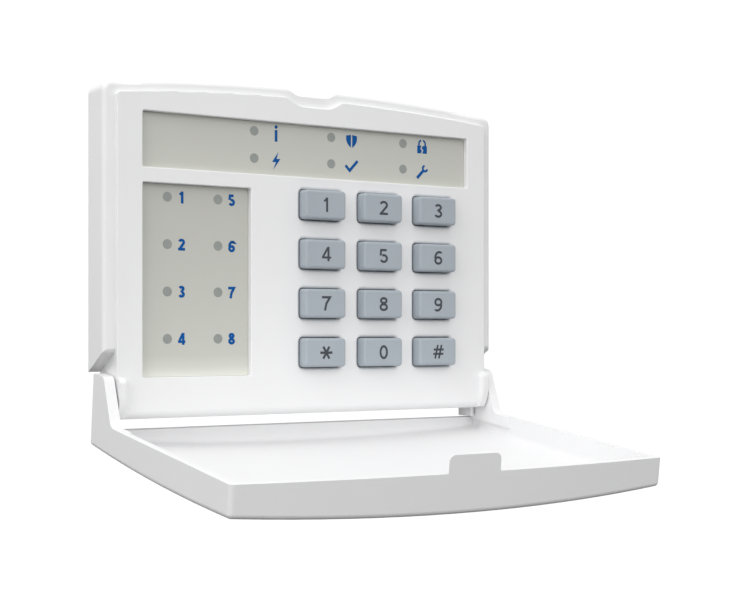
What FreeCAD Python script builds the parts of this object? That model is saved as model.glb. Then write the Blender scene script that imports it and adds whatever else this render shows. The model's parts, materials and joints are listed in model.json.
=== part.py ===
import FreeCAD, Part
import os
from math import acos, sin, sqrt, tan

# Wall-mounted alarm keypad with a flip-down lid, modelled with the lid open.
# Millimetres. Y = 0 is the wall, the front faces -Y, X = 0 is the middle of the casing,
# +Z is up, and Z = 0 is the middle of the wall plate.

V = FreeCAD.Vector

# ---- front casing ----
CASE_HALF_W = 70.0
CASE_LOW = -49.7            # bottom edge
CASE_CORNER = 49.4          # top edge at the sides
CASE_RISE = 3.5             # the top edge is an arch this high
REAR_RIM_Y = -4.5           # rear rim of the front casing
LEDGE_Y = -16.4             # shoulder around the plateau
PLATEAU_Y = -18.13          # front face
PLATEAU_HALF_W = 66.27
PLATEAU_CORNER = 46.33
PLATEAU_RISE = 3.2
WALL = 2.0
CASE_CORNER_R = 3.0
SHOULDER_R = 1.5
BOTTOM_R = 2.5
PLATEAU_EDGE_R = 0.35
PLATEAU_CORNER_R = 1.2

# ---- finger notch in the top edge ----
NOTCH_HALF_TOP = 10.2
NOTCH_HALF_LOW = 5.6
NOTCH_LOW = 50.3            # notch floor in the outer wall
PLATEAU_NOTCH_LOW = 46.9    # notch floor in the plateau
NOTCH_ROOF = 48.2           # inside of the casing under the notch
NOTCH_R = 6.0
NOTCH_HEIGHT = 6.0          # cut well past the arch

# ---- lid hinge, as the lid lies closed ----
PIVOT_Y = -10.1
PIVOT_Z = -42.9
OPEN_ANGLE = 96.69
PIN_R = 1.6
PIN_CLEARANCE = 0.05
PIN_INNER_X = 62.6
HINGE_BOSS_R = 3.4
HINGE_BOSS_X = 62.2

# ---- lid, as it lies closed ----
LID_HALF_W = 70.0
LID_LOW = -44.8
LID_CORNER = 48.7
LID_RIM_Y = -17.28
LID_CROWN_Y = -29.25        # outermost point of the domed face
LID_CROWN_Z = 9.0
LID_DOME_R = 950.0
LID_WALL = 2.3
LID_FACE = 2.1
LID_EDGE_R = 1.3
LID_CORNER_R = 1.5
LID_INNER_R = 1.8           # between the face and the walls, inside
LID_HEEL_Y = -20.6          # edge of the wall next to the hinge
ARM_INNER_X = 66.8
ARM_END_Y = -3.5
ARM_END_Z = -36.7           # upper corner of the arm's end
ARM_SLOPE = 0.528           # rise of the arm's upper edge per mm towards the front
ARM_END_R = 2.3
ARM_ROOT_R = 3.5
TAB_HALF_W = 8.5
TAB_LENGTH = 5.0
TAB_THICK = 1.45
TAB_R = 2.0
TAB_SIDE_GAP = 0.4          # between the tab's sloping sides and the notch

# ---- side pockets for the arms ----
POCKET_GAP = 0.25           # between the casing and the closed arm
POCKET_NOSE_R = 3.0

# ---- rounded bosses on the lower corners of the front face ----
BOSS_INNER_X = 63.0
BOSS_PROUD = 2.1
BOSS_TOP = -37.5
BOSS_R = 1.8

# ---- open stops under the casing ----
STOP_X = (64.9, 66.1)
STOP_Y = (-12.0, -4.7)
STOP_LOW = -52.85

# ---- label recesses ----
RECESS_DEPTH = 2.25
LABEL_THICK = 0.25
LABEL_GAP = 0.1
RECESS_FLOOR = 1.2
RECESS_R = 0.6
RECESS_RIM_R = 0.3
STATUS_BOX = (-58.3, 58.9, 24.75, 41.4)     # low X, high X, low Z, high Z
ZONE_BOX = (-58.3, -22.7, -37.4, 20.3)

# ---- indicators ----
LED_HOLE_R = 1.5
STATUS_X = (-20.65, 6.9, 34.3)
STATUS_Z = (38.3, 29.85)
ZONE_X = (-49.65, -33.0)
ZONE_TOP_Z = 16.4
ZONE_PITCH_Z = 14.15
ZONE_ROWS = 4

# ---- keys ----
KEY_X0, KEY_PITCH_X = 1.95, 21.37
KEY_Z0, KEY_PITCH_Z = 16.1, 15.53
KEY_ROWS = (("1", "2", "3"), ("4", "5", "6"), ("7", "8", "9"), ("star", "0", "hash"))
KEY_PROUD = 3.5
KEY_BASE = (7.4, 4.6)       # half sizes where the key leaves the casing
KEY_FACE = (7.3, 4.5)
KEY_HOLE = (7.65, 4.85)
KEY_HOLE_R = 1.3
KEY_RIM_R = 1.0
KEY_R = 1.1
KEY_EDGE_R = 0.8
KEY_FLANGE = (8.8, 6.4)
KEY_FLANGE_Y = (-15.9, -14.7)
KEY_STEM = (4.0, 3.0)
KEY_STEM_Y = -14.25
PILL_R = 2.2
PILL_THICK = 0.3

# ---- circuit board and keypad sheet ----
BOARD_FRONT_Y = -12.7
BOARD_THICK = 1.6
BOARD_HALF_W = 61.8
BOARD_LOW, BOARD_HIGH = -37.0, 46.0
BOARD_CORNER_R = 2.0
MAT_THICK = 1.2
MAT_HOLE = (9.3, 6.95)
MAT_MARGIN = 1.6
POST_R = 2.5
POST_SITES = ((-14.5, -33.0), (58.5, -33.0), (-14.5, 18.0), (58.5, 18.0))
SCREW_R = 1.1
SCREW_HEAD_R = 2.0
SCREW_HEAD = 1.5
SCREW_LENGTH = 5.0
SCREW_HEAD_R_EDGE = 0.5
CROSS_HALF = (1.2, 0.25)    # half length and half width of the screw's cross recess
CROSS_DEPTH = 0.7

# ---- parts on the board's back, heights above the board ----
BOARD_BACK_Y = BOARD_FRONT_Y + BOARD_THICK
LED_BODY = (1.75, 1.4, 1.2)     # half width, half height, thickness
LED_LENS = (1.2, 0.9, 0.6)      # radius at the body, radius at the tip, height
TERMINAL_X, TERMINAL_Z = 30.0, -22.0
TERMINAL_WAYS = 4
TERMINAL_PITCH = 5.0
TERMINAL_DEPTH = 7.8
TERMINAL_HALF_H = 4.0
WIRE_WAY_HALF_W = 1.7
WIRE_WAY_SPAN = (1.0, 4.4)      # from and to, above the board
WIRE_WAY_TOP = 2.5              # above the terminal's middle
SCREW_WELL_R = 1.75
CLAMP_GAP = 0.1                 # between the clamp and its way
CLAMP_WALL = 0.5
CLAMP_HALF_H = 2.4
CLAMP_SCREW = (0.95, 1.6)       # radii of the shank and the head
CLAMP_SCREW_SPAN = (3.0, 4.6, 6.6)      # shank end, head seat, head top above the board
CLAMP_SLOT = (0.25, 0.8)        # half width and depth
BUZZER_SITE = (45.0, 22.0)
BUZZER_R, BUZZER_HEIGHT = 6.0, 7.0
BUZZER_HOLE = (1.0, 1.5)        # radius and depth
CONTROLLER = (-20.0, 2.0, 5.0, 5.0, 1.4, 11, 11, 0.8)       # site, half sizes, height, legs, pitch
TRANSCEIVER = (-4.0, -18.0, 2.5, 2.0, 1.5, 4, 0, 1.27)
LEG = (0.16, 0.25, 1.1)         # half width, thickness and reach of a chip's leg
REGULATOR_SITE = (-22.0, -24.0)
REGULATOR_BODY = (3.3, 3.0, 2.2)        # half width, half height, thickness
REGULATOR_TAB = (2.7, 1.1, 0.5)         # half width, reach, thickness
REGULATOR_LEG_X = (-2.3, 0.0, 2.3)
REGULATOR_LEG = (0.4, 2.2, 0.4)         # half width, reach, thickness
CAPACITOR_SITES = ((-30.0, -26.0), (-40.0, -26.0), (8.0, -8.0))
CAPACITOR_FOOT = (2.8, 0.8)     # half size and thickness
CAPACITOR_R, CAPACITOR_HEIGHT = 2.5, 6.2
RESISTOR = (1.0, 0.6, 0.5)      # half width, half height, thickness
CRYSTAL_SITE = (-31.0, 19.0)
CRYSTAL = (5.0, 2.1, 3.4)       # half width, half height, thickness
CRYSTAL_R = 2.0
CAN_EDGE_R = 0.4
TAMPER_X, TAMPER_Z = -46.0, -14.0
TAMPER_BODY = (5.0, 2.4, 6.0)   # half width, half height, height above the board
TAMPER_STEM = (1.4, 1.0)        # half sizes of the plunger
TAMPER_WELL = 3.5               # depth of the plunger's well
TAMPER_GAP = 0.1                # around the plunger
TAMPER_TRAVEL = 0.8
TAMPER_TIP_GAP = 0.05           # from the plunger's tip to the wall plate

# ---- rear housing ----
PLATE_HALF_W = 63.0
PLATE_LOW, PLATE_HIGH = -47.0, 47.0
PLATE_THICK = 2.0
FLANGE_THICK = 1.8
FIT_GAP = 0.2
WALL_SCREW_X, WALL_SCREW_Z = 42.0, 32.0
WALL_SCREW_R = 2.1
CABLE_BOX = (-13.0, 13.0, -43.0, -29.0)
HOOK_X = 30.0
HOOK_HALF_W = 4.0
HOOK_THICK = 1.3
HOOK_REACH = 5.0
HOOK_BARB = 0.7


def box(x0, x1, y0, y1, z0, z1):
    return Part.makeBox(x1 - x0, y1 - y0, z1 - z0, V(x0, y0, z0))


def rod_x(y, z, r, x0, x1):
    return Part.makeCylinder(r, x1 - x0, V(x0, y, z), V(1, 0, 0))


def rod_y(x, z, r, y0, y1):
    return Part.makeCylinder(r, y1 - y0, V(x, y0, z), V(0, 1, 0))


def pick_fillet(shape, radius, picks):
    """Round the edges whose middle point and direction satisfy picks(middle, direction).
    The direction of a closed edge is the zero vector."""
    chosen = []
    for edge in shape.Edges:
        middle = edge.valueAt((edge.FirstParameter + edge.LastParameter) / 2)
        along = edge.valueAt(edge.LastParameter).sub(edge.valueAt(edge.FirstParameter))
        if along.Length > 1e-6:
            along.normalize()
        if picks(middle, along):
            chosen.append(edge)
    return shape.makeFillet(radius, chosen)


def along_y(direction):
    return abs(direction.y) > 0.999


def rounded_wire(points, radii):
    """Closed polygon whose corners are rounded by tangent arcs."""
    stretches = []
    count = len(points)
    for i, (corner, radius) in enumerate(zip(points, radii)):
        back = points[i - 1].sub(corner).normalize()
        ahead = points[(i + 1) % count].sub(corner).normalize()
        if radius == 0:
            stretches.append((corner, None, corner))
            continue
        half = acos(max(-1.0, min(1.0, back.dot(ahead)))) / 2
        reach = radius / tan(half)
        inward = back.add(ahead).normalize()
        centre = corner.add(inward * (radius / sin(half)))
        stretches.append((corner.add(back * reach), centre.sub(inward * radius), corner.add(ahead * reach)))
    edges = []
    for i, (start, middle, end) in enumerate(stretches):
        if middle is not None:
            edges.append(Part.Arc(start, middle, end).toShape())
        following = stretches[(i + 1) % count][0]
        if end.sub(following).Length > 1e-6:
            edges.append(Part.LineSegment(end, following).toShape())
    return Part.Wire(edges)


def prism(points, radii, direction):
    return Part.Face(rounded_wire(points, radii)).extrude(direction)


def rounded_plate(x0, x1, z0, z1, y0, y1, radius):
    """Flat block whose four corners, seen from the front, are rounded."""
    points = [V(x0, y0, z0), V(x1, y0, z0), V(x1, y0, z1), V(x0, y0, z1)]
    return prism(points, [radius] * 4, V(0, y1 - y0, 0))


def arched_block(half_w, low, corner, rise, y0, y1):
    """Block with straight bottom and sides and an arched top edge."""
    right, left = V(half_w, y0, corner), V(-half_w, y0, corner)
    edges = [
        Part.LineSegment(V(-half_w, y0, low), V(half_w, y0, low)).toShape(),
        Part.LineSegment(V(half_w, y0, low), right).toShape(),
        Part.Arc(right, V(0, y0, corner + rise), left).toShape(),
        Part.LineSegment(left, V(-half_w, y0, low)).toShape(),
    ]
    return Part.Face(Part.Wire(edges)).extrude(V(0, y1 - y0, 0))


def both_sides(make):
    """A feature and its mirror image, made by make(side) for side -1 and +1."""
    return [make(-1), make(1)]


def span(side, inner, outer):
    """Low and high X of a feature between two distances from the middle."""
    return (inner, outer) if side > 0 else (-outer, -inner)


def arm_edge_z(y):
    """Height of the closed arm's upper edge."""
    return ARM_END_Z + ARM_SLOPE * (ARM_END_Y - y)


def key_sites():
    for row, names in enumerate(KEY_ROWS):
        for column, name in enumerate(names):
            yield name, KEY_X0 + column * KEY_PITCH_X, KEY_Z0 - row * KEY_PITCH_Z


def status_sites():
    return [(x, z) for x in STATUS_X for z in STATUS_Z]


def zone_sites():
    return [(x, ZONE_TOP_Z - row * ZONE_PITCH_Z) for x in ZONE_X for row in range(ZONE_ROWS)]


# ---------------------------------------------------------------- front casing

def notch(low, y0, y1, side_gap=0.0):
    """The finger notch, wider at its top, with rounded lower corners."""
    slope = (NOTCH_HALF_TOP - NOTCH_HALF_LOW) / (CASE_CORNER + CASE_RISE - NOTCH_LOW)
    base = NOTCH_HALF_LOW - side_gap
    top = base + slope * NOTCH_HEIGHT
    high = low + NOTCH_HEIGHT
    points = [V(-base, y0, low), V(base, y0, low), V(top, y0, high), V(-top, y0, high)]
    return prism(points, [NOTCH_R, NOTCH_R, 0, 0], V(0, y1 - y0, 0))


def arm_pocket(side, inner):
    """Space beside the casing for the lid's arm, below the arm's closed upper edge."""
    lift = POCKET_GAP * sqrt(1 + ARM_SLOPE ** 2)
    nose, front, rear, deep = LEDGE_Y - 0.25, LEDGE_Y - 8, 2.0, CASE_LOW - 8
    nose_z = arm_edge_z(nose) + lift
    x0, x1 = span(side, inner, CASE_HALF_W + 5)
    points = [V(x0, rear, deep), V(x0, rear, arm_edge_z(rear) + lift), V(x0, nose, nose_z),
              V(x0, nose, nose_z + 8), V(x0, front, nose_z + 8), V(x0, front, deep)]
    return prism(points, [0, 0, POCKET_NOSE_R, 0, 0, 0], V(x1 - x0, 0, 0))


def corner_boss(side):
    """Rounded boss whose lower half curves about the hinge, so that the lid's heel passes it."""
    x0, x1 = span(side, BOSS_INNER_X, PLATEAU_HALF_W)
    face = PLATEAU_Y - BOSS_PROUD
    block = box(x0, x1, face, PLATEAU_Y + 1.5, PIVOT_Z, BOSS_TOP)
    inner = x0 if side > 0 else x1

    def rounded(middle, direction):
        at_inner = abs(middle.x - inner) < 1e-3
        at_top = abs(middle.z - BOSS_TOP) < 1e-3
        at_face = abs(middle.y - face) < 1e-3
        return (at_face and (at_inner or at_top)) or (at_inner and at_top)

    upper = pick_fillet(block, BOSS_R, rounded)
    radius = PIVOT_Y - face
    lower = rod_x(PIVOT_Y, PIVOT_Z, radius, x0, x1)
    lower = pick_fillet(lower, BOSS_R, lambda m, d: abs(m.x - inner) < 1e-3)
    keep = box(x0, x1, face - 1, PLATEAU_Y + 1.5, CASE_LOW + 0.4, PIVOT_Z)
    return upper.fuse(lower.common(keep)).removeSplitter()


def stop_rib(side):
    x0, x1 = span(side, *STOP_X)
    return box(x0, x1, STOP_Y[0], STOP_Y[1], STOP_LOW, CASE_LOW + 1)


def recess_tub(limits):
    x0, x1, z0, z1 = limits
    back = PLATEAU_Y + RECESS_DEPTH + RECESS_FLOOR
    return box(x0 - RECESS_FLOOR, x1 + RECESS_FLOOR, PLATEAU_Y + 1, back,
               z0 - RECESS_FLOOR, z1 + RECESS_FLOOR)


def recess_cut(limits):
    x0, x1, z0, z1 = limits
    return rounded_plate(x0, x1, z0, z1, PLATEAU_Y - 1, PLATEAU_Y + RECESS_DEPTH, RECESS_R)


def key_hole(x, z):
    half_x, half_z = KEY_HOLE
    return rounded_plate(x - half_x, x + half_x, z - half_z, z + half_z,
                         PLATEAU_Y - 1, PLATEAU_Y + 4, KEY_HOLE_R)


def round_rims(cover, boxes, radius):
    """Round the front rims of the openings that lie within the given boxes."""
    def on_rim(middle, direction):
        return abs(middle.y - PLATEAU_Y) < 1e-3 and any(
            x0 - 0.01 < middle.x < x1 + 0.01 and z0 - 0.01 < middle.z < z1 + 0.01
            for x0, x1, z0, z1 in boxes)

    return pick_fillet(cover, radius, on_rim)


def hook_pockets():
    """Shallow pockets in the top and bottom walls that the rear housing's barbs snap into."""
    cuts = []
    y0, y1 = REAR_RIM_Y - HOOK_REACH - 0.3, REAR_RIM_Y - HOOK_REACH + 1.7
    for x in (-HOOK_X, HOOK_X):
        cuts.append(box(x - HOOK_HALF_W - 0.4, x + HOOK_HALF_W + 0.4, y0, y1,
                        cavity_top(HOOK_X + HOOK_HALF_W) - 1, cavity_top(HOOK_X) + 1.0))
        cuts.append(box(x - HOOK_HALF_W - 0.4, x + HOOK_HALF_W + 0.4, y0, y1,
                        CASE_LOW + WALL - 0.9, CASE_LOW + WALL + 1))
    return cuts


def cavity_top(x):
    """Height of the cavity's arched top at a distance x from the middle."""
    half = CASE_HALF_W - WALL
    return CASE_CORNER - WALL + CASE_RISE * (1 - (x / half) ** 2)


def inner_space(margin, y0, y1):
    """The casing's cavity behind its front wall, shrunk by margin: full width above the
    pockets, narrower beside them."""
    wide = arched_block(CASE_HALF_W - WALL - margin, CASE_LOW + WALL + margin,
                        CASE_CORNER - WALL - margin, CASE_RISE, y0, y1)
    below = arm_edge_z(LEDGE_Y) + 3.0 + margin
    for side in (-1, 1):
        x0, x1 = span(side, PLATEAU_HALF_W - WALL - margin, CASE_HALF_W)
        wide = wide.cut(box(x0, x1, y0 - 1, y1 + 1, CASE_LOW - 5, below))
    roof = NOTCH_ROOF - margin
    half_notch = NOTCH_HALF_TOP + WALL + margin
    return wide.cut(box(-half_notch, half_notch, y0 - 1, y1 + 1, roof, roof + 10))


def make_front_cover():
    shell = arched_block(CASE_HALF_W, CASE_LOW, CASE_CORNER, CASE_RISE, LEDGE_Y, REAR_RIM_Y)
    shell = pick_fillet(shell, CASE_CORNER_R, lambda m, d: along_y(d) and m.z > 0)
    shell = pick_fillet(shell, SHOULDER_R,
                        lambda m, d: abs(m.y - LEDGE_Y) < 1e-3 and m.z > CASE_LOW + 1)
    shell = shell.cut(notch(NOTCH_LOW, LEDGE_Y - 2, REAR_RIM_Y + 1))

    plateau = arched_block(PLATEAU_HALF_W, CASE_LOW, PLATEAU_CORNER, PLATEAU_RISE,
                           PLATEAU_Y, LEDGE_Y + 1)
    plateau = pick_fillet(plateau, PLATEAU_CORNER_R, lambda m, d: along_y(d) and m.z > 0)
    plateau = plateau.cut(notch(PLATEAU_NOTCH_LOW, PLATEAU_Y - 1, LEDGE_Y))
    plateau = pick_fillet(plateau, PLATEAU_EDGE_R,
                          lambda m, d: abs(m.y - PLATEAU_Y) < 1e-3 and m.z > CASE_LOW + 1)

    for side in (-1, 1):
        shell = shell.cut(arm_pocket(side, PLATEAU_HALF_W))
    cover = shell.fuse(plateau).removeSplitter()
    cover = pick_fillet(cover, BOTTOM_R, lambda m, d: abs(m.z - CASE_LOW) < 1e-3
                        and abs(m.y - PLATEAU_Y) < 1e-3 and abs(d.x) > 0.99)

    cover = cover.cut(inner_space(0, LEDGE_Y + WALL, REAR_RIM_Y + 1))
    front_half_w = PLATEAU_HALF_W - WALL
    cover = cover.cut(arched_block(front_half_w, CASE_LOW + BOTTOM_R, PLATEAU_CORNER - WALL - 0.6,
                                   0.5, PLATEAU_Y + WALL, LEDGE_Y + WALL + 1))

    additions = both_sides(corner_boss) + both_sides(stop_rib)
    additions += [recess_tub(STATUS_BOX), recess_tub(ZONE_BOX)]
    additions += [rod_y(x, z, POST_R, PLATEAU_Y + 1, BOARD_FRONT_Y) for x, z in POST_SITES]
    for side in (-1, 1):
        x0, x1 = span(side, HINGE_BOSS_X, PLATEAU_HALF_W - 1)
        additions.append(rod_x(PIVOT_Y, PIVOT_Z, HINGE_BOSS_R, x0, x1))
    cover = cover.fuse(additions).removeSplitter()

    recesses = [STATUS_BOX, ZONE_BOX]
    half_x, half_z = KEY_HOLE
    openings = [(x - half_x, x + half_x, z - half_z, z + half_z) for _, x, z in key_sites()]
    cover = cover.cut([recess_cut(limits) for limits in recesses]
                      + [key_hole(x, z) for _, x, z in key_sites()])
    cover = round_rims(cover, openings, KEY_RIM_R)
    cover = round_rims(cover, recesses, RECESS_RIM_R)

    cuts = [rod_y(x, z, LED_HOLE_R, PLATEAU_Y, PLATEAU_Y + 6) for x, z in status_sites() + zone_sites()]
    cuts += [rod_y(x, z, SCREW_R + 0.05, BOARD_FRONT_Y - 3.0, BOARD_FRONT_Y + 1) for x, z in POST_SITES]
    for side in (-1, 1):
        x0, x1 = span(side, HINGE_BOSS_X - 1, CASE_HALF_W)
        cuts.append(rod_x(PIVOT_Y, PIVOT_Z, PIN_R + PIN_CLEARANCE, x0, x1))
    cuts += hook_pockets()
    return cover.cut(cuts)


# ---------------------------------------------------------------- lid

def dome(radius):
    return Part.makeSphere(radius, V(0, LID_CROWN_Y + LID_DOME_R, LID_CROWN_Z),
                           V(0, 0, 1), -30, 30, 360)


def lid_arm(side):
    """Hinge arm: a flat end with one rounded corner, a sloping upper edge, and a root that
    runs into the lid's side wall."""
    x0, x1 = span(side, ARM_INNER_X, LID_HALF_W)
    root_z = arm_edge_z(LID_RIM_Y)
    inside = LID_RIM_Y - 3.5
    points = [V(x0, ARM_END_Y, LID_LOW), V(x0, ARM_END_Y, ARM_END_Z), V(x0, LID_RIM_Y, root_z),
              V(x0, LID_RIM_Y, root_z + 8), V(x0, inside, root_z + 8), V(x0, inside, LID_LOW)]
    return prism(points, [0.8, ARM_END_R, ARM_ROOT_R, 0, 0, 0], V(x1 - x0, 0, 0))


def lid_tab():
    """Finger tab that reaches back from the lid's free edge into the casing's notch."""
    crest = LID_CORNER + CASE_RISE
    low, near, far = crest - TAB_THICK, LID_RIM_Y - 1, LID_RIM_Y + TAB_LENGTH
    points = [V(-TAB_HALF_W, near, low), V(TAB_HALF_W, near, low),
              V(TAB_HALF_W, far, low), V(-TAB_HALF_W, far, low)]
    block = prism(points, [0, 0, TAB_R, TAB_R], V(0, 0, TAB_THICK + 1))
    block = block.common(arched_block(LID_HALF_W, LID_LOW, LID_CORNER, CASE_RISE, near - 1, far + 1))
    return block.common(notch(NOTCH_LOW, near - 1, far + 1, TAB_SIDE_GAP))


def make_lid():
    outer = arched_block(LID_HALF_W, LID_LOW, LID_CORNER, CASE_RISE, LID_CROWN_Y - 3, LID_RIM_Y)
    outer = pick_fillet(outer, LID_CORNER_R, lambda m, d: along_y(d) and m.z > 0)
    outer = outer.common(dome(LID_DOME_R))
    outer = pick_fillet(outer, LID_EDGE_R, lambda m, d: m.y < LID_RIM_Y - 1 and not along_y(d))

    hollow = arched_block(LID_HALF_W - LID_WALL, LID_LOW + LID_WALL, LID_CORNER - LID_WALL,
                          CASE_RISE, LID_CROWN_Y - 3, LID_RIM_Y + 1)
    hollow = hollow.common(dome(LID_DOME_R - LID_FACE))
    hollow = pick_fillet(hollow, LID_INNER_R, lambda m, d: m.y < LID_RIM_Y - 1 and not along_y(d))

    lid = outer.cut(hollow)
    lid = lid.fuse(both_sides(lid_arm))
    lid = lid.cut(box(-ARM_INNER_X, ARM_INNER_X, LID_HEEL_Y, ARM_END_Y + 1, LID_LOW - 1, LID_LOW + 5))
    pins = []
    for side in (-1, 1):
        x0, x1 = span(side, PIN_INNER_X, LID_HALF_W - 1)
        pins.append(rod_x(PIVOT_Y, PIVOT_Z, PIN_R, x0, x1))
    lid = lid.fuse([lid_tab()] + pins).removeSplitter()
    lid.rotate(V(0, PIVOT_Y, PIVOT_Z), V(1, 0, 0), OPEN_ANGLE)
    return lid


# ---------------------------------------------------------------- labels, keys, sheet

def make_label(limits):
    """Film on the recess's floor."""
    x0, x1, z0, z1 = limits
    back = PLATEAU_Y + RECESS_DEPTH
    return rounded_plate(x0 + LABEL_GAP, x1 - LABEL_GAP, z0 + LABEL_GAP, z1 - LABEL_GAP,
                         back - LABEL_THICK, back, RECESS_R)


def make_key(x, z):
    """Tapered key top, its body in the opening, the flange that retains it, and its stem."""
    face_y = PLATEAU_Y - KEY_PROUD
    base_x, base_z = KEY_BASE
    face_x, face_z = KEY_FACE

    def outline(half_x, half_z, y, radius):
        points = [V(x - half_x, y, z - half_z), V(x + half_x, y, z - half_z),
                  V(x + half_x, y, z + half_z), V(x - half_x, y, z + half_z)]
        return rounded_wire(points, [radius] * 4)

    top = Part.makeLoft([outline(face_x, face_z, face_y, KEY_R),
                         outline(base_x, base_z, PLATEAU_Y, KEY_R)], True, True)
    top = pick_fillet(top, KEY_EDGE_R, lambda m, d: abs(m.y - face_y) < 1e-3)
    body = rounded_plate(x - base_x, x + base_x, z - base_z, z + base_z,
                         PLATEAU_Y, KEY_FLANGE_Y[0], KEY_R)
    flange_x, flange_z = KEY_FLANGE
    flange = rounded_plate(x - flange_x, x + flange_x, z - flange_z, z + flange_z,
                           KEY_FLANGE_Y[0], KEY_FLANGE_Y[1], KEY_R)
    stem_x, stem_z = KEY_STEM
    stem = rounded_plate(x - stem_x, x + stem_x, z - stem_z, z + stem_z,
                         KEY_FLANGE_Y[1], KEY_STEM_Y, KEY_R)
    return top.fuse([body, flange, stem]).removeSplitter()


def make_pill(x, z):
    return rod_y(x, z, PILL_R, KEY_STEM_Y, KEY_STEM_Y + PILL_THICK)


def make_keypad_mat():
    """Silicone sheet on the board, with an opening around each key."""
    half_x, half_z = MAT_HOLE
    left = KEY_X0 - half_x - MAT_MARGIN
    right = KEY_X0 + 2 * KEY_PITCH_X + half_x + MAT_MARGIN
    top = KEY_Z0 + half_z + MAT_MARGIN
    low = BOARD_LOW + 0.3
    sheet = rounded_plate(left, right, low, top, BOARD_FRONT_Y - MAT_THICK, BOARD_FRONT_Y, 1.5)
    holes = [rounded_plate(x - half_x, x + half_x, z - half_z, z + half_z,
                           BOARD_FRONT_Y - MAT_THICK - 1, BOARD_FRONT_Y + 1, KEY_HOLE_R)
             for _, x, z in key_sites()]
    posts = [rod_y(x, z, POST_R + 0.3, BOARD_FRONT_Y - 3, BOARD_FRONT_Y + 1) for x, z in POST_SITES]
    return sheet.cut(holes + posts)


# ---------------------------------------------------------------- electronics

def make_circuit_board():
    board = rounded_plate(-BOARD_HALF_W, BOARD_HALF_W, BOARD_LOW, BOARD_HIGH,
                          BOARD_FRONT_Y, BOARD_BACK_Y, BOARD_CORNER_R)
    holes = [rod_y(x, z, SCREW_R + 0.2, BOARD_FRONT_Y - 1, BOARD_BACK_Y + 1) for x, z in POST_SITES]
    return board.cut(holes)


def make_leds(sites):
    """Small surface-mounted LEDs, each with a domed lens in its body."""
    half_x, half_z, thick = LED_BODY
    leds = []
    for x, z in sites:
        body = box(x - half_x, x + half_x, BOARD_FRONT_Y - thick, BOARD_FRONT_Y, z - half_z, z + half_z)
        lens = Part.makeCone(*LED_LENS, V(x, BOARD_FRONT_Y - thick, z), V(0, -1, 0))
        leds.append(body.fuse(lens))
    return Part.makeCompound(leds)


def make_board_screws():
    """Self-tapping screws through the board into the posts."""
    top = BOARD_BACK_Y + SCREW_HEAD
    long, short = CROSS_HALF
    screws = []
    for x, z in POST_SITES:
        shank = rod_y(x, z, SCREW_R, top - SCREW_LENGTH, BOARD_BACK_Y + 0.2)
        head = rod_y(x, z, SCREW_HEAD_R, BOARD_BACK_Y, top)
        head = pick_fillet(head, SCREW_HEAD_R_EDGE, lambda m, d: abs(m.y - top) < 1e-3)
        cross = [box(x - a, x + a, top - CROSS_DEPTH, top + 1, z - b, z + b)
                 for a, b in ((long, short), (short, long))]
        screws.append(head.fuse(shank).cut(cross))
    return Part.makeCompound(screws)


def terminal_sites():
    first = TERMINAL_X - TERMINAL_PITCH * (TERMINAL_WAYS - 1) / 2
    return [first + way * TERMINAL_PITCH for way in range(TERMINAL_WAYS)]


def make_terminal_block():
    """Body of the four-way terminal: a wire way from below and a screw well in each way."""
    half = TERMINAL_PITCH * TERMINAL_WAYS / 2
    rear = BOARD_BACK_Y + TERMINAL_DEPTH
    body = box(TERMINAL_X - half, TERMINAL_X + half, BOARD_BACK_Y, rear,
               TERMINAL_Z - TERMINAL_HALF_H, TERMINAL_Z + TERMINAL_HALF_H)
    y0, y1 = BOARD_BACK_Y + WIRE_WAY_SPAN[0], BOARD_BACK_Y + WIRE_WAY_SPAN[1]
    cuts = []
    for x in terminal_sites():
        cuts.append(box(x - WIRE_WAY_HALF_W, x + WIRE_WAY_HALF_W, y0, y1,
                        TERMINAL_Z - TERMINAL_HALF_H - 1, TERMINAL_Z + WIRE_WAY_TOP))
        cuts.append(rod_y(x, TERMINAL_Z, SCREW_WELL_R, y1 - 0.4, rear + 1))
    return body.cut(cuts)


def make_terminal_clamps():
    """A metal cage in each way, open towards the wire, with the screw's hole at its rear."""
    half = WIRE_WAY_HALF_W - CLAMP_GAP
    inside = half - CLAMP_WALL
    y0 = BOARD_BACK_Y + WIRE_WAY_SPAN[0] + CLAMP_GAP / 2
    y1 = BOARD_BACK_Y + WIRE_WAY_SPAN[1] - CLAMP_GAP
    cages = []
    for x in terminal_sites():
        cage = box(x - half, x + half, y0, y1, TERMINAL_Z - CLAMP_HALF_H, TERMINAL_Z + CLAMP_HALF_H)
        wire_way = box(x - inside, x + inside, y0 + CLAMP_WALL, y1 - CLAMP_WALL,
                       TERMINAL_Z - CLAMP_HALF_H - 1, TERMINAL_Z + CLAMP_HALF_H + 1)
        hole = rod_y(x, TERMINAL_Z, CLAMP_SCREW[0] + 0.05, y1 - 2 * CLAMP_WALL, y1 + 1)
        cages.append(cage.cut([wire_way, hole]))
    return Part.makeCompound(cages)


def make_terminal_screws():
    shank_r, head_r = CLAMP_SCREW
    end, seat, top = (BOARD_BACK_Y + height for height in CLAMP_SCREW_SPAN)
    half_slot, depth = CLAMP_SLOT
    screws = []
    for x in terminal_sites():
        shank = rod_y(x, TERMINAL_Z, shank_r, end, seat + 0.4)
        head = rod_y(x, TERMINAL_Z, head_r, seat, top)
        slot = box(x - head_r + 0.3, x + head_r - 0.3, top - depth, top + 1,
                   TERMINAL_Z - half_slot, TERMINAL_Z + half_slot)
        screws.append(head.fuse(shank).cut(slot))
    return Part.makeCompound(screws)


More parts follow.
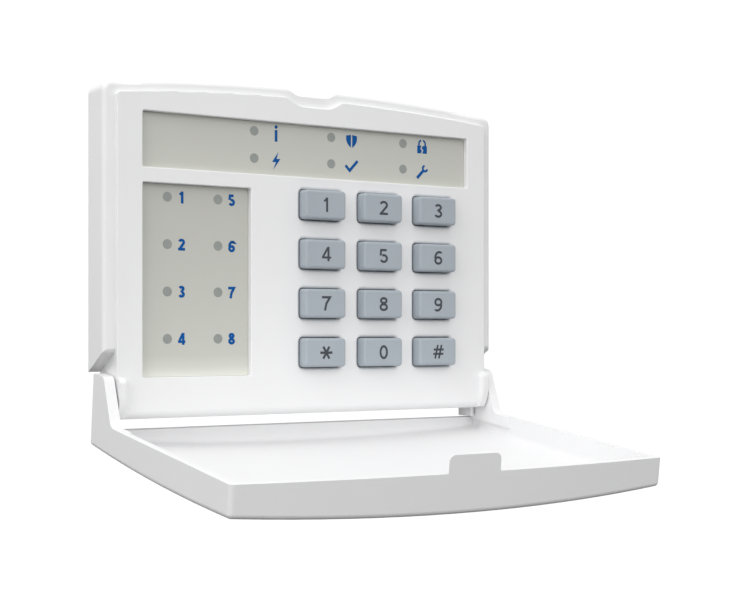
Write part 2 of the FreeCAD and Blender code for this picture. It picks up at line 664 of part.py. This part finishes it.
def make_buzzer():
    """Round sounder with a small sound hole in its rear face."""
    x, z = BUZZER_SITE
    hole_r, depth = BUZZER_HOLE
    top = BOARD_BACK_Y + BUZZER_HEIGHT
    body = rod_y(x, z, BUZZER_R, BOARD_BACK_Y, top)
    body = pick_fillet(body, CAN_EDGE_R, lambda m, d: abs(m.y - top) < 1e-3)
    return body.cut(rod_y(x, z, hole_r, top - depth, top + 1))


def make_chip(x, z, half_x, half_z, height, pins_x, pins_z, pitch):
    """Flat package with gull-wing legs along its sides."""
    low = BOARD_BACK_Y + 0.1
    top = low + height
    body = box(x - half_x, x + half_x, low, top, z - half_z, z + half_z)
    body = pick_fillet(body, 0.15, lambda m, d: abs(m.y - top) < 1e-3)
    first_leg_dot = rod_y(x - half_x + 0.9, z + half_z - 0.9, 0.35, top - 0.1, top + 1)
    body = body.cut(first_leg_dot)
    legs = []
    width, foot, reach = LEG
    for side in (-1, 1):
        for i in range(pins_x):
            centre = x + (i - (pins_x - 1) / 2) * pitch
            z0, z1 = sorted((z + side * (half_z - 0.1), z + side * (half_z + reach)))
            legs.append(box(centre - width, centre + width, BOARD_BACK_Y, BOARD_BACK_Y + foot, z0, z1))
        for i in range(pins_z):
            centre = z + (i - (pins_z - 1) / 2) * pitch
            x0, x1 = sorted((x + side * (half_x - 0.1), x + side * (half_x + reach)))
            legs.append(box(x0, x1, BOARD_BACK_Y, BOARD_BACK_Y + foot, centre - width, centre + width))
    return body.fuse(legs).removeSplitter()


def make_regulator():
    """Power package: plastic body, metal tab above and three legs below."""
    x, z = REGULATOR_SITE
    half_x, half_z, thick = REGULATOR_BODY
    low = BOARD_BACK_Y + 0.1
    body = box(x - half_x, x + half_x, low, low + thick, z - half_z, z + half_z)
    tab_half, tab_reach, tab_thick = REGULATOR_TAB
    tab = box(x - tab_half, x + tab_half, BOARD_BACK_Y, BOARD_BACK_Y + tab_thick,
              z + half_z - 0.1, z + half_z + tab_reach)
    leg_half, leg_reach, leg_thick = REGULATOR_LEG
    legs = [box(x + dx - leg_half, x + dx + leg_half, BOARD_BACK_Y, BOARD_BACK_Y + leg_thick,
                z - half_z - leg_reach, z - half_z + 0.1) for dx in REGULATOR_LEG_X]
    return body.fuse([tab] + legs).removeSplitter()


def make_capacitors():
    """Electrolytic cans standing on the board, each on a square plastic foot."""
    half, thick = CAPACITOR_FOOT
    foot_top, top = BOARD_BACK_Y + thick, BOARD_BACK_Y + CAPACITOR_HEIGHT
    cans = []
    for x, z in CAPACITOR_SITES:
        foot = box(x - half, x + half, BOARD_BACK_Y, foot_top, z - half, z + half)
        can = rod_y(x, z, CAPACITOR_R, foot_top, top)
        can = pick_fillet(can, CAN_EDGE_R, lambda m, d: abs(m.y - top) < 1e-3)
        cans.append(foot.fuse(can).removeSplitter())
    return Part.makeCompound(cans)


def resistor_sites():
    """One for each indicator and one for each row of keys."""
    status = [(-24.0 + 5.0 * i, 30.0) for i in range(len(status_sites()))]
    zone = [(-52.0, 8.0 - 5.0 * i) for i in range(len(zone_sites()))]
    key_lines = [(22.0 + 4.0 * i, 4.0) for i in range(len(KEY_ROWS))]
    return status + zone + key_lines


def make_resistors():
    half_x, half_z, thick = RESISTOR
    chips = [box(x - half_x, x + half_x, BOARD_BACK_Y, BOARD_BACK_Y + thick, z - half_z, z + half_z)
             for x, z in resistor_sites()]
    return Part.makeCompound(chips)


def make_crystal():
    x, z = CRYSTAL_SITE
    half_x, half_z, thick = CRYSTAL
    top = BOARD_BACK_Y + thick
    can = rounded_plate(x - half_x, x + half_x, z - half_z, z + half_z, BOARD_BACK_Y, top, CRYSTAL_R)
    return pick_fillet(can, CAN_EDGE_R, lambda m, d: abs(m.y - top) < 1e-3)


def make_tamper_switch():
    half_x, half_z, height = TAMPER_BODY
    rear = BOARD_BACK_Y + height
    body = box(TAMPER_X - half_x, TAMPER_X + half_x, BOARD_BACK_Y, rear,
               TAMPER_Z - half_z, TAMPER_Z + half_z)
    well_x, well_z = TAMPER_STEM[0] + TAMPER_GAP, TAMPER_STEM[1] + TAMPER_GAP
    well = box(TAMPER_X - well_x, TAMPER_X + well_x, rear - TAMPER_WELL, rear + 1,
               TAMPER_Z - well_z, TAMPER_Z + well_z)
    return body.cut(well)


def make_tamper_plunger():
    """Plunger that the rear housing's plate holds in."""
    stem_x, stem_z = TAMPER_STEM
    tip = -PLATE_THICK - TAMPER_TIP_GAP
    start = BOARD_BACK_Y + TAMPER_BODY[2] - TAMPER_WELL + TAMPER_TRAVEL + 0.2
    stem = box(TAMPER_X - stem_x, TAMPER_X + stem_x, start, tip, TAMPER_Z - stem_z, TAMPER_Z + stem_z)
    return pick_fillet(stem, 0.4, lambda m, d: abs(m.y - tip) < 1e-3)


# ---------------------------------------------------------------- rear housing

def snap_hooks():
    """Two hooks above and two below, each with a barb that snaps into the casing's wall."""
    hooks = []
    rear, front = REAR_RIM_Y - FLANGE_THICK + 0.5, REAR_RIM_Y - HOOK_REACH
    top = cavity_top(HOOK_X + HOOK_HALF_W) - FIT_GAP
    low = CASE_LOW + WALL + FIT_GAP
    for x in (-HOOK_X, HOOK_X):
        for z, outward in ((top, 1), (low, -1)):
            z0, z1 = sorted((z, z - outward * HOOK_THICK))
            hooks.append(box(x - HOOK_HALF_W, x + HOOK_HALF_W, front, rear, z0, z1))
            x0, root = x - HOOK_HALF_W, z - outward * 0.4
            barb = [V(x0, front, root), V(x0, front + 1.2, z + outward * HOOK_BARB),
                    V(x0, front + 1.5, root)]
            hooks.append(prism(barb, [0, 0, 0], V(2 * HOOK_HALF_W, 0, 0)))
    return hooks


def make_rear_housing():
    tub = rounded_plate(-PLATE_HALF_W, PLATE_HALF_W, PLATE_LOW, PLATE_HIGH, REAR_RIM_Y, 0, 4.0)
    flange = inner_space(FIT_GAP, REAR_RIM_Y - FLANGE_THICK, REAR_RIM_Y)
    housing = tub.fuse(flange)
    inside = rounded_plate(-PLATE_HALF_W + WALL, PLATE_HALF_W - WALL, PLATE_LOW + WALL,
                           PLATE_HIGH - WALL, REAR_RIM_Y - 9, -PLATE_THICK, 2.5)
    housing = housing.cut(inside)
    housing = housing.fuse(snap_hooks()).removeSplitter()
    cuts = [rod_y(x, z, WALL_SCREW_R, -PLATE_THICK - 1, 1)
            for x in (-WALL_SCREW_X, WALL_SCREW_X) for z in (-WALL_SCREW_Z, WALL_SCREW_Z)]
    x0, x1, z0, z1 = CABLE_BOX
    cuts.append(rounded_plate(x0, x1, z0, z1, -PLATE_THICK - 1, 1, 2.5))
    return housing.cut(cuts)


# ---------------------------------------------------------------- the whole keypad

def build_nodes():
    nodes = {
        "front_cover": make_front_cover(),
        "lid": make_lid(),
        "rear_housing": make_rear_housing(),
        "status_label": make_label(STATUS_BOX),
        "zone_label": make_label(ZONE_BOX),
        "keypad_mat": make_keypad_mat(),
        "circuit_board": make_circuit_board(),
        "status_leds": make_leds(status_sites()),
        "zone_leds": make_leds(zone_sites()),
        "board_screws": make_board_screws(),
        "terminal_block": make_terminal_block(),
        "terminal_clamps": make_terminal_clamps(),
        "terminal_screws": make_terminal_screws(),
        "buzzer": make_buzzer(),
        "microcontroller": make_chip(*CONTROLLER),
        "bus_transceiver": make_chip(*TRANSCEIVER),
        "voltage_regulator": make_regulator(),
        "crystal": make_crystal(),
        "capacitors": make_capacitors(),
        "resistors": make_resistors(),
        "tamper_switch": make_tamper_switch(),
        "tamper_plunger": make_tamper_plunger(),
    }
    for name, x, z in key_sites():
        nodes["key_" + name] = make_key(x, z)
        nodes["carbon_pill_" + name] = make_pill(x, z)
    return nodes


os.makedirs("parts", exist_ok=True)
for node_name, node_shape in build_nodes().items():
    node_shape.exportStep("parts/" + node_name + ".step")
    bounds = node_shape.BoundBox
    print(f"{node_name:20s} valid={node_shape.isValid()} solids={len(node_shape.Solids)} "
          f"volume={node_shape.Volume:9.1f} "
          f"X {bounds.XMin:.1f}..{bounds.XMax:.1f} Y {bounds.YMin:.1f}..{bounds.YMax:.1f} "
          f"Z {bounds.ZMin:.1f}..{bounds.ZMax:.1f}")
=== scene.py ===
import json
from math import atan2, cos, pi, radians, sin

import bmesh
import bpy
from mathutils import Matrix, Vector


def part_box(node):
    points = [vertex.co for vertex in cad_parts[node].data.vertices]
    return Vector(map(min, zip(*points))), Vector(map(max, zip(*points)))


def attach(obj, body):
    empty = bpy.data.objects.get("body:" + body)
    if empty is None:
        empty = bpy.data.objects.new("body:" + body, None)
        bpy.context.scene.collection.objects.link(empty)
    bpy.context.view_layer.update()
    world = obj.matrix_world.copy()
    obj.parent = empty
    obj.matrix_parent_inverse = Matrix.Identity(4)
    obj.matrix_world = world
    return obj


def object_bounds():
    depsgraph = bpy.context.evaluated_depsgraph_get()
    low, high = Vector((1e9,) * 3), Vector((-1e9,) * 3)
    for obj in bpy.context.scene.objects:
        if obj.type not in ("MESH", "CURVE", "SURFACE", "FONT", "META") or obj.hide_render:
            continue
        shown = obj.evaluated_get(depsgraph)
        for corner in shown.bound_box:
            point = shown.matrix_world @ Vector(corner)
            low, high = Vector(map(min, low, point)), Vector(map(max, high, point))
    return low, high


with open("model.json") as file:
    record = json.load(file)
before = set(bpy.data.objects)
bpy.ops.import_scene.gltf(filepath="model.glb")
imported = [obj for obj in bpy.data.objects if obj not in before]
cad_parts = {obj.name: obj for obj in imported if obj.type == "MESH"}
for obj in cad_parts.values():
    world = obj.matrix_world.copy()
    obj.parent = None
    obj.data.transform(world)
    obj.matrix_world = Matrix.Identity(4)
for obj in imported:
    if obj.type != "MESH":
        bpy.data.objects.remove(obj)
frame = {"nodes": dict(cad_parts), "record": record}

CAD_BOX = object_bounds()
MM = 0.001
scene = bpy.context.scene
nodes = frame["nodes"]


# ---------------------------------------------------------------- materials

def new_material(name):
    material = bpy.data.materials.new(name)
    material.use_nodes = True
    tree = material.node_tree
    return material, tree, tree.nodes["Principled BSDF"]


def noise(tree, scale, detail=2.0, stretch=(1, 1, 1)):
    """Noise in the object's own coordinates, which are metres."""
    coords = tree.nodes.new("ShaderNodeTexCoord")
    mapping = tree.nodes.new("ShaderNodeMapping")
    mapping.inputs["Scale"].default_value = stretch
    texture = tree.nodes.new("ShaderNodeTexNoise")
    texture.inputs["Scale"].default_value = scale
    texture.inputs["Detail"].default_value = detail
    tree.links.new(coords.outputs["Object"], mapping.inputs["Vector"])
    tree.links.new(mapping.outputs["Vector"], texture.inputs["Vector"])
    return texture.outputs["Fac"]


def vary_colour(tree, shader, factor, first, second):
    ramp = tree.nodes.new("ShaderNodeValToRGB")
    ramp.color_ramp.elements[0].position = 0.3
    ramp.color_ramp.elements[0].color = (*first, 1)
    ramp.color_ramp.elements[1].position = 0.7
    ramp.color_ramp.elements[1].color = (*second, 1)
    tree.links.new(factor, ramp.inputs["Fac"])
    tree.links.new(ramp.outputs["Color"], shader.inputs["Base Color"])


def vary_roughness(tree, shader, factor, low, high):
    spread = tree.nodes.new("ShaderNodeMapRange")
    spread.inputs["To Min"].default_value = low
    spread.inputs["To Max"].default_value = high
    tree.links.new(factor, spread.inputs["Value"])
    tree.links.new(spread.outputs["Result"], shader.inputs["Roughness"])


def add_bump(tree, shader, height, strength, distance):
    bump = tree.nodes.new("ShaderNodeBump")
    bump.inputs["Strength"].default_value = strength
    bump.inputs["Distance"].default_value = distance
    tree.links.new(height, bump.inputs["Height"])
    tree.links.new(bump.outputs["Normal"], shader.inputs["Normal"])


def shade(colour, factor):
    return tuple(c * factor for c in colour)


ROUGHNESS_SWING = 0.05      # the fine noise moves the roughness this much each way
GRAIN_STRENGTH = 0.25


def surface(name, colour, rough, spread=0.02, metal=0.0, grain=3000.0, depth=0.01, patches=60.0,
            specular=0.5, stretch=(1, 1, 1)):
    """Plastic, rubber, film or metal with faint colour patches and a fine moulded grain."""
    material, tree, shader = new_material(name)
    shader.inputs["Metallic"].default_value = metal
    shader.inputs["Specular IOR Level"].default_value = specular
    broad = noise(tree, patches, 3.0)
    fine = noise(tree, grain, 2.0, stretch)
    vary_colour(tree, shader, broad, shade(colour, 1 - spread), shade(colour, 1 + spread))
    vary_roughness(tree, shader, fine, rough - ROUGHNESS_SWING, rough + ROUGHNESS_SWING)
    add_bump(tree, shader, fine, GRAIN_STRENGTH, depth * MM)
    return material


FILM = (0.565, 0.57, 0.52)
FILM_SPAN = (-38.0, 42.0)       # heights (mm) that the film's painted light and shade are spread over
FILM_MOTTLE = 0.03              # how far noise shifts a shade, as a share of the span
# height (mm) and brightness factor: painted light at the lower edge of each window, painted shade
# towards its top
FILM_PAINTED_LIGHT = ((-37.6, 1.42), (-34.5, 1.14), (-31.0, 1.0), (-10.0, 0.95), (20.3, 0.885),
               (24.8, 1.03), (33.0, 0.965), (41.4, 0.955))


def label_film():
    """Film with painted light and shade: lighter towards the lower edge of each window, darker towards
    its top, faintly mottled.
    """
    material = surface("label_film", FILM, 0.42, grain=5000.0, depth=0.004)
    tree = material.node_tree
    coords = tree.nodes.new("ShaderNodeTexCoord")
    split = tree.nodes.new("ShaderNodeSeparateXYZ")
    height = tree.nodes.new("ShaderNodeMapRange")
    height.inputs["From Min"].default_value = FILM_SPAN[0] * MM
    height.inputs["From Max"].default_value = FILM_SPAN[1] * MM
    mottle = tree.nodes.new("ShaderNodeMath")
    mottle.operation = "MULTIPLY_ADD"
    mottle.inputs[1].default_value = FILM_MOTTLE
    ramp = tree.nodes.new("ShaderNodeValToRGB")
    stops = ramp.color_ramp.elements
    while len(stops) < len(FILM_PAINTED_LIGHT):
        stops.new(0.5)
    for stop, (z, factor) in zip(stops, FILM_PAINTED_LIGHT):
        stop.position = (z - FILM_SPAN[0]) / (FILM_SPAN[1] - FILM_SPAN[0]) + FILM_MOTTLE / 2
        stop.color = (*shade(FILM, factor), 1)
    tree.links.new(coords.outputs["Object"], split.inputs[0])
    tree.links.new(split.outputs["Z"], height.inputs["Value"])
    tree.links.new(noise(tree, 30.0, 3.0), mottle.inputs[0])
    tree.links.new(height.outputs["Result"], mottle.inputs[2])
    tree.links.new(mottle.outputs[0], ramp.inputs["Fac"])
    tree.links.new(ramp.outputs["Color"], tree.nodes["Principled BSDF"].inputs["Base Color"])
    return material


MATERIALS = {
    "casing_white": surface("casing_white", (0.84, 0.84, 0.845), 0.48, 0.006, depth=0.01),
    "label_film": label_film(),
    "key_rubber": surface("key_rubber", (0.39, 0.432, 0.472), 0.78, 0.02, grain=4500.0, depth=0.012,
                          specular=0.28),
    "carbon": surface("carbon", (0.03, 0.03, 0.03), 0.7, 0.1),
    "board_green": surface("board_green", (0.03, 0.20, 0.09), 0.35, 0.06, patches=150.0),
    "led_clear": surface("led_clear", (0.82, 0.85, 0.78), 0.2, 0.03),
    "screw_steel": surface("screw_steel", (0.55, 0.56, 0.58), 0.32, 0.06, metal=1.0, grain=2500.0),
    "terminal_green": surface("terminal_green", (0.06, 0.32, 0.14), 0.45, 0.04),
    "plated_metal": surface("plated_metal", (0.66, 0.66, 0.65), 0.25, 0.05, metal=1.0),
    "capacitor_can": surface("capacitor_can", (0.70, 0.70, 0.71), 0.3, 0.05, metal=1.0,
                             stretch=(1, 12, 1)),
    "black_plastic": surface("black_plastic", (0.03, 0.03, 0.032), 0.5, 0.15),
    "switch_white": surface("switch_white", (0.78, 0.78, 0.75), 0.4, 0.03),
}
for part in frame["record"]["subparts"]:
    node = nodes[part["node"]]
    look = MATERIALS[part["material_slot"]]
    if node.material_slots:
        for place in node.material_slots:
            place.material = look
    else:
        node.data.materials.append(look)

print_blue = surface("print_blue", (0.001, 0.085, 0.31), 0.5, 0.03, patches=900.0, depth=0.002,
                     specular=0.15)
print_grey = surface("print_grey", (0.045, 0.052, 0.063), 0.55, 0.05, patches=900.0, depth=0.002)
window_grey = surface("window_grey", (0.285, 0.305, 0.29), 0.42, 0.04, patches=700.0, depth=0.002)


# ---------------------------------------------------------------- printed marks
# A mark is a list of outlines (closed, filled) in millimetres, x to the right and z up.

def arc(x, z, radius_x, radius_z, start, end, steps=14):
    turns = [radians(start + (end - start) * i / steps) for i in range(steps + 1)]
    return [(x + radius_x * cos(t), z + radius_z * sin(t)) for t in turns]


def disc(x, z, radius, steps=32):
    return arc(x, z, radius, radius, 0, 360, steps)[:-1]


MITRE_LEAST = 0.35      # keeps the mitre of a sharp corner short


def ribbon(path, width, closed=False):
    """A stroke of even width along a path, as quads with mitred corners."""
    count = len(path)
    sides = []
    for i, (x, z) in enumerate(path):
        before = path[i - 1] if closed or i > 0 else None
        after = path[(i + 1) % count] if closed or i < count - 1 else None
        before = before or (2 * x - after[0], 2 * z - after[1])
        after = after or (2 * x - before[0], 2 * z - before[1])
        a = atan2(z - before[1], x - before[0])
        b = atan2(after[1] - z, after[0] - x)
        turn = (b - a + pi) % (2 * pi) - pi
        reach = width / 2 / max(MITRE_LEAST, cos(turn / 2))
        across = a + turn / 2 + pi / 2
        dx, dz = reach * cos(across), reach * sin(across)
        sides.append(((x + dx, z + dz), (x - dx, z - dz)))
    last = count if closed else count - 1
    quads = []
    for i in range(last):
        (left, right), (next_left, next_right) = sides[i], sides[(i + 1) % count]
        quads.append([left, right, next_right, next_left])
    return quads


def digit(name, t, w):
    """One numeral, one unit tall and w wide, in strokes of thickness t."""
    e, r, top = t / 2, w - t / 2, 1 - t / 2
    c = w / 2
    if name == "0":
        return ribbon(arc(c, 0.5, c - e, 0.5 - e, 0, 360, 28)[:-1], t, True)
    if name == "1":
        x = c + 0.06
        flag = [(x - 0.24, 0.74), (x - 0.08, 0.84), (x, 0.97)]
        return ribbon([(x, 0), (x, 1.0)], t) + ribbon(flag, t * 0.9)
    if name == "2":
        bowl = arc(c, 0.70, c - e, 0.30 - e, 160, -32)
        return ribbon(bowl + [(e * 1.3, e)], t) + ribbon([(0.01, e), (w, e)], t)
    if name == "3":
        upper = arc(c - 0.01, 0.745, c - e - 0.03, 0.255 - e, 155, -88)
        lower = arc(c - 0.01, 0.28, c - e, 0.28 - e, 88, -158)
        return ribbon(upper, t) + ribbon(lower, t) + ribbon([(c - 0.1, 0.53), (c, 0.53)], t * 0.8)
    if name == "4":
        stem = w * 0.74
        slope = [(stem - 0.03, 0.96), (e * 0.9, 0.29)]
        bar = [(0, 0.26), (w + 0.03, 0.26)]
        return ribbon([(stem, 0), (stem, 1.0)], t) + ribbon(slope, t * 0.9) + ribbon(bar, t * 0.9)
    if name == "5":
        bowl = arc(c, 0.32, c - e, 0.32 - e, 118, -155)
        return ribbon([(r - 0.02, top), (e + 0.05, top), (e + 0.01, 0.52)], t) + ribbon(bowl, t)
    if name == "6":
        bowl = ribbon(arc(c, 0.31, c - e, 0.31 - e, 0, 360, 24)[:-1], t, True)
        back = arc(w * 0.62, 0.47, w * 0.62 - e, 0.53 - e, 180, 62)
        return bowl + ribbon(back + [(r - 0.02, 0.84)], t)
    if name == "7":
        return ribbon([(0, top), (r + 0.02, top), (w * 0.5, 0.48), (w * 0.34, 0)], t)
    if name == "8":
        upper = arc(c, 0.745, c - e - 0.035, 0.255 - e, 0, 360, 24)[:-1]
        lower = arc(c, 0.285, c - e, 0.285 - e, 0, 360, 24)[:-1]
        return ribbon(upper, t, True) + ribbon(lower, t, True)
    return [[(w - x, 1 - z) for x, z in outline] for outline in digit("6", t, w)]


def star(t):
    """Six-armed asterisk, one unit wide."""
    arms = []
    for angle in (0, 60, 120):
        dx, dz = 0.5 * cos(radians(angle)), 0.5 * sin(radians(angle))
        arms += ribbon([(0.5 - dx, 0.5 - dz), (0.5 + dx, 0.5 + dz)], t)
    return arms


def hash_sign(t):
    bars = []
    for x in (0.22, 0.55):
        bars += ribbon([(x, 0), (x + 0.24, 1)], t)
    for z in (0.34, 0.66):
        bars += ribbon([(0.02 + 0.1 * z, z), (0.92 + 0.1 * z, z)], t)
    return bars


def placed(outlines, x, z, height, across):
    """Outlines one unit tall and across wide, centred on a point."""
    return [[(x + (px - across / 2) * height, z + (pz - 0.5) * height) for px, pz in outline]
            for outline in outlines]


PRINT_PROUD = 0.02          # how far a printed layer stands out, in mm
PRINT_SEAT = 0.002          # how far its inner edge stays clear of the surface
STROKE_STEP = 0.0015        # strokes that cross lie on one another, this far apart
STROKE_LAYERS = 12


def print_mark(name, outlines, front, material, body, proud=PRINT_PROUD):
    """A thin printed layer whose outer face stands proud of the surface at front (mm)."""
    mesh = bmesh.new()
    for number, outline in enumerate(outlines):
        height = front - proud - STROKE_STEP * (number % STROKE_LAYERS)
        area = sum(a[0] * b[1] - b[0] * a[1] for a, b in zip(outline, outline[1:] + outline[:1]))
        ordered = outline if area > 0 else outline[::-1]
        outer = [mesh.verts.new((x * MM, height * MM, z * MM)) for x, z in ordered]
        inner = [mesh.verts.new((x * MM, (front - PRINT_SEAT) * MM, z * MM)) for x, z in ordered]
        mesh.faces.new(outer)
        count = len(outer)
        for i in range(count):
            k = (i + 1) % count
            mesh.faces.new((outer[i], inner[i], inner[k], outer[k]))
    data = bpy.data.meshes.new(name)
    mesh.to_mesh(data)
    mesh.free()
    data.materials.append(material)
    piece = bpy.data.objects.new(name, data)
    scene.collection.objects.link(piece)
    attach(piece, body)


def centre(node):
    low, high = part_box(node)
    return (low + high) / 2 / MM


# ---- key legends ----
# heights are in mm, widths and strokes are per unit of height
LEGEND_HEIGHT, LEGEND_WIDTH, LEGEND_STROKE = 4.55, 0.7, 0.165
STAR_SIZE, STAR_STROKE = 4.4, 0.18
HASH_SIZE, HASH_STROKE = 4.5, 0.15
for suffix in list("1234567890") + ["star", "hash"]:
    name = "key_" + suffix
    middle = centre(name)
    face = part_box(name)[0].y / MM
    if suffix == "star":
        marks = placed(star(STAR_STROKE), middle.x, middle.z, STAR_SIZE, 1.0)
    elif suffix == "hash":
        marks = placed(hash_sign(HASH_STROKE), middle.x, middle.z, HASH_SIZE, 1.0)
    else:
        marks = placed(digit(suffix, LEGEND_STROKE, LEGEND_WIDTH), middle.x, middle.z,
                       LEGEND_HEIGHT, LEGEND_WIDTH)
    print_mark("legend_" + suffix, marks, face, print_grey, name)

# ---- zone numerals and windows, which lie over the LEDs ----
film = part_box("zone_label")[0].y / MM
ZONE_X = (-49.65, -33.0)
ZONE_TOP_Z, ZONE_PITCH, ZONE_ROWS = 16.4, 14.15, 4
NUMERAL_OFFSET_X, NUMERAL_HEIGHT, NUMERAL_WIDTH, NUMERAL_STROKE = 4.6, 3.6, 0.64, 0.235
WINDOW_R = 1.5
WINDOW_PROUD = 0.015
numerals, windows = [], []
for column, x in enumerate(ZONE_X):
    for row in range(ZONE_ROWS):
        z = ZONE_TOP_Z - row * ZONE_PITCH
        numeral = digit(str(1 + row + ZONE_ROWS * column), NUMERAL_STROKE, NUMERAL_WIDTH)
        numerals += placed(numeral, x + NUMERAL_OFFSET_X, z, NUMERAL_HEIGHT, NUMERAL_WIDTH)
        windows.append(disc(x, z, WINDOW_R))
print_mark("zone_numerals", numerals, film, print_blue, "panel")
print_mark("zone_windows", windows, film, window_grey, "panel", WINDOW_PROUD)

# ---- status windows and symbols ----
STATUS_X = (-20.65, 6.9, 34.3)
STATUS_Z = (38.3, 29.85)
dots = [disc(x, z, WINDOW_R) for x in STATUS_X for z in STATUS_Z]
print_mark("status_windows", dots, film, window_grey, "panel", WINDOW_PROUD)


def moved(outlines, x, z, scale):
    return [[(x + px * scale, z + pz * scale) for px, pz in outline] for outline in outlines]


symbol_i = [[(-0.4, -2.1), (0.4, -2.1), (0.4, 0.95), (-0.4, 0.95)],
            disc(0, 1.7, 0.46, 16)]
symbol_bolt = [[(0.55, 2.0), (-1.05, -0.3), (-0.1, -0.3), (-0.75, -2.0), (1.05, 0.45), (0.1, 0.45)]]
half_shield = [(0.18, 1.55), (1.6, 1.3), (1.6, 0.2), (1.3, -0.6), (0.75, -1.3), (0.18, -1.75)]
symbol_shield = [half_shield, [(-x, z) for x, z in half_shield]]
symbol_tick = ribbon([(-1.75, 0.1), (-0.55, -1.15), (1.75, 1.35)], 0.72)
left_body = [(-1.55, -1.75), (-0.35, -1.75), (-0.05, -0.95), (-0.6, -0.55), (-0.15, 0.3), (-1.55, 0.3)]
right_body = [(0.05, -1.75), (1.55, -1.75), (1.55, 0.3), (0.25, 0.3), (-0.15, -0.35), (0.4, -0.85)]
symbol_lock = [left_body, right_body]
for shackle in (arc(-0.05, 0.75, 0.95, 1.0, 180, 105, 6), arc(0.05, 0.75, 0.95, 1.0, 75, 0, 6),
                [(-1.0, 0.25), (-1.0, 0.8)], [(1.0, 0.25), (1.0, 0.8)]):
    symbol_lock += ribbon(shackle, 0.5)
symbol_wrench = (ribbon([(-1.6, -1.7), (0.35, 0.35)], 0.8)
                 + ribbon(arc(0.95, 0.95, 0.72, 0.72, 100, 350, 14), 0.6))
STATUS_SYMBOLS = (      # outlines, x, z and scale
    (symbol_i, -13.0, 38.0, 1.2),
    (symbol_bolt, -12.95, 29.5, 1.4),
    (symbol_shield, 14.5, 37.7, 1.27),
    (symbol_tick, 14.5, 29.6, 1.3),
    (symbol_lock, 41.9, 37.7, 1.25),
    (symbol_wrench, 41.9, 29.35, 1.25),
)
symbols = []
for outlines, x, z, scale in STATUS_SYMBOLS:
    symbols += moved(outlines, x, z, scale)
print_mark("status_symbols", symbols, film, print_blue, "panel")


# ---------------------------------------------------------------- floor, light, camera

FLOOR_HALF = 6.0
FLOOR_DROP = 0.09       # the keypad hangs on a wall, so the floor is below it
FLOOR_Z = CAD_BOX[0][2] - FLOOR_DROP
floor_mesh = bpy.data.meshes.new("floor")
floor_corners = [(-FLOOR_HALF, -FLOOR_HALF, FLOOR_Z), (FLOOR_HALF, -FLOOR_HALF, FLOOR_Z),
                 (FLOOR_HALF, FLOOR_HALF, FLOOR_Z), (-FLOOR_HALF, FLOOR_HALF, FLOOR_Z)]
floor_mesh.from_pydata(floor_corners, [], [(0, 1, 2, 3)])
floor = bpy.data.objects.new("floor", floor_mesh)
scene.collection.objects.link(floor)
floor_look = surface("floor_pale", (0.12, 0.12, 0.12), 0.9, 0.004, patches=2.0, grain=200.0,
                     specular=0.0)
floor_mesh.materials.append(floor_look)


SURROUNDINGS_WHITE = 1.05       # just over white, so that noise doesn't show in the background


def brighter_for_camera(tree, dim, output, colour_type):
    """Mixes a bright white in, for the camera only, so that the surroundings look white
    without flooding the object with light."""
    path = tree.nodes.new("ShaderNodeLightPath")
    white = tree.nodes.new(colour_type)
    white.inputs["Strength"].default_value = SURROUNDINGS_WHITE
    white.inputs["Color"].default_value = (1, 1, 1, 1)
    mix = tree.nodes.new("ShaderNodeMixShader")
    tree.links.new(path.outputs["Is Camera Ray"], mix.inputs["Fac"])
    tree.links.new(dim, mix.inputs[1])
    tree.links.new(white.outputs[0], mix.inputs[2])
    tree.links.new(mix.outputs[0], output.inputs["Surface"])


floor_tree = floor_look.node_tree
brighter_for_camera(floor_tree, floor_tree.nodes["Principled BSDF"].outputs[0],
                    floor_tree.nodes["Material Output"], "ShaderNodeEmission")

AMBIENT = 0.86
AIM = Vector((0, -0.05, -0.02))     # what the lamps point at
LAMPS = (                           # name, place, size in metres, power in watts
    ("key_light", (-0.75, -0.2, 0.8), 0.8, 4.2),
    ("front_light", (0.0, -1.0, 0.55), 0.8, 2.9),
    ("left_light", (-0.9, -0.6, 0.05), 0.8, 1.8),
)
world = bpy.data.worlds.new("studio")
scene.world = world
world.use_nodes = True
sky = world.node_tree.nodes["Background"]
sky.inputs["Color"].default_value = (1, 1, 1, 1)
sky.inputs["Strength"].default_value = AMBIENT
brighter_for_camera(world.node_tree, sky.outputs[0], world.node_tree.nodes["World Output"],
                    "ShaderNodeBackground")


def area_light(name, place, size, power):
    data = bpy.data.lights.new(name, "AREA")
    data.shape = "DISK"
    data.size = size
    data.energy = power
    lamp = bpy.data.objects.new(name, data)
    lamp.location = place
    lamp.rotation_euler = (AIM - Vector(place)).to_track_quat("-Z", "Y").to_euler()
    lamp.visible_camera = False
    scene.collection.objects.link(lamp)


for lamp_name, lamp_place, lamp_size, lamp_power in LAMPS:
    area_light(lamp_name, lamp_place, lamp_size, lamp_power)

HEADING = radians(31.94)        # the camera's turn to the keypad's left
CAMERA_PLACE = (-0.21722, -0.40214, -0.02418)
LENS = 66.91
SHIFT_Y = 0.0435
camera_data = bpy.data.cameras.new("camera")
camera_data.sensor_width = 36.0
camera_data.lens = LENS
camera_data.shift_y = SHIFT_Y
camera_data.clip_start = 0.01
camera = bpy.data.objects.new("camera", camera_data)
camera.location = CAMERA_PLACE
camera.rotation_euler = (pi / 2, 0, -HEADING)
scene.collection.objects.link(camera)
scene.camera = camera

scene.view_settings.view_transform = "Standard"
scene.view_settings.look = "None"
